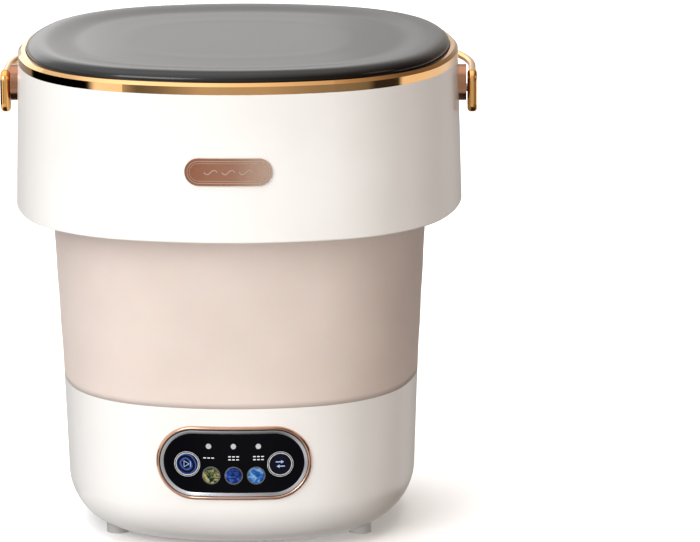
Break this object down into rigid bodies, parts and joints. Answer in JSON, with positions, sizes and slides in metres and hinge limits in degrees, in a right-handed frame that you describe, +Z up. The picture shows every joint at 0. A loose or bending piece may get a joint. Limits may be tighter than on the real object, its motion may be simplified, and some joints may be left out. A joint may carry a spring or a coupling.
{
  "type": "portable mini washer",
  "caption": "Folding tabletop washer: white base with control panel, soft folding wall, gold-rimmed upper housing, smoked lift-off lid and swinging carry handle.",
  "frame": {"origin": "on the tub's vertical axis, at the level of the feet's undersides; the folded-back handle puts the box's own centre about 3 mm further back", "axes": "+Z up; the control panel faces -Y; +X is the user's right as they face the panel"},
  "size_m": [0.365, 0.348, 0.375],
  "materials": {
    "white_abs": "gloss, warm white moulded ABS",
    "inner_white": "satin moulded polypropylene",
    "blush_tpe": "soft matt thermoplastic elastomer",
    "gold_plate": "electroplated rose gold on ABS",
    "silver_plate": "electroplated silver on ABS",
    "smoked_clear": "smoked translucent polycarbonate, gloss",
    "black_gloss": "black gloss acrylic",
    "button_black": "gloss black keycap with lit symbol",
    "lit_white": "translucent white light pipe",
    "icon_blue": "printed mode pictogram under gloss acrylic",
    "grey_rubber": "matt translucent grey rubber",
    "black_rubber": "matt black rubber",
    "steel": "zinc-plated steel",
    "motor_can": "plated steel can",
    "grey_nylon": "moulded nylon",
    "board_green": "solder-masked circuit board",
    "part_black": "moulded electronic components"
  },
  "bodies": {
    "base": {"base_shell": "white_abs", "bottom_cover": "white_abs", "cover_screws": "steel", "feet": "grey_rubber", "wash_tub": "inner_white", "soft_wall": "blush_tpe", "shaft_bearings": "steel", "bearing_housing": "grey_nylon", "shaft_seal": "black_rubber", "drive_belt": "black_rubber", "motor": "motor_can", "motor_bracket": "steel", "panel_bezel": "gold_plate", "panel_bevel": "silver_plate", "panel_glass": "black_gloss", "button_rings": "silver_plate", "led_lenses": "lit_white", "mode_icons": "icon_blue", "icon_rings": "silver_plate", "control_board": "board_green", "tact_switches": "part_black", "board_components": "part_black", "board_posts": "grey_nylon", "drain_pipe": "inner_white", "power_inlet": "part_black", "inlet_pin": "steel"},
    "upper_housing": {"upper_skirt": "white_abs", "rim_trim": "gold_plate", "wall_clamp": "inner_white", "clamp_screws": "steel", "badge_plate": "gold_plate", "pivot_bracket_right": "gold_plate", "pivot_bracket_left": "gold_plate", "pivot_pins": "steel"},
    "lid": {"lid_panel": "smoked_clear", "lid_gasket": "grey_rubber"},
    "handle": {"handle_bail": "gold_plate"},
    "pulsator": {"pulsator": "inner_white", "pulsator_screw": "steel", "drive_shaft": "steel", "driven_pulley": "grey_nylon"},
    "motor_rotor": {"motor_shaft": "steel", "motor_pulley": "steel"},
    "start_button": {"start_button": "button_black"},
    "mode_button": {"mode_button": "button_black"},
    "drain_cap": {"drain_cap": "inner_white"}
  },
  "joints": [
    {"name": "fold", "type": "slide", "parent": "base", "child": "upper_housing", "axis": [0, 0, 1], "range_m": [-0.205, 0], "deforming": ["soft_wall"]},
    {"name": "lid_lift", "type": "slide", "parent": "upper_housing", "child": "lid", "axis": [0, 0, 1], "range_m": [0, 0.04]},
    {"name": "handle_swing", "type": "hinge", "parent": "upper_housing", "child": "handle", "pos_m": [0, 0, 0.335], "axis": [1, 0, 0], "range_deg": [0, 90]},
    {"name": "pulsator_spin", "type": "hinge", "parent": "base", "child": "pulsator", "pos_m": [0, 0, 0.1], "axis": [0, 0, 1], "continuous": true},
    {"name": "motor_spin", "type": "hinge", "parent": "base", "child": "motor_rotor", "pos_m": [0, 0.072, 0.03], "axis": [0, 0, 1], "continuous": true},
    {"name": "start_press", "type": "slide", "parent": "base", "child": "start_button", "axis": [0, 1, 0], "range_m": [0, 0.0012], "stiffness_N_per_m": 900, "springref_m": -0.001},
    {"name": "mode_press", "type": "slide", "parent": "base", "child": "mode_button", "axis": [0, 1, 0], "range_m": [0, 0.0012], "stiffness_N_per_m": 900, "springref_m": -0.001},
    {"name": "drain_cap_pull", "type": "slide", "parent": "base", "child": "drain_cap", "axis": [0, 1, 0], "range_m": [0, 0.03]}
  ],
  "couplings": [
    {"joint": "motor_spin", "follows": "pulsator_spin", "ratio": 4.5484}
  ]
}
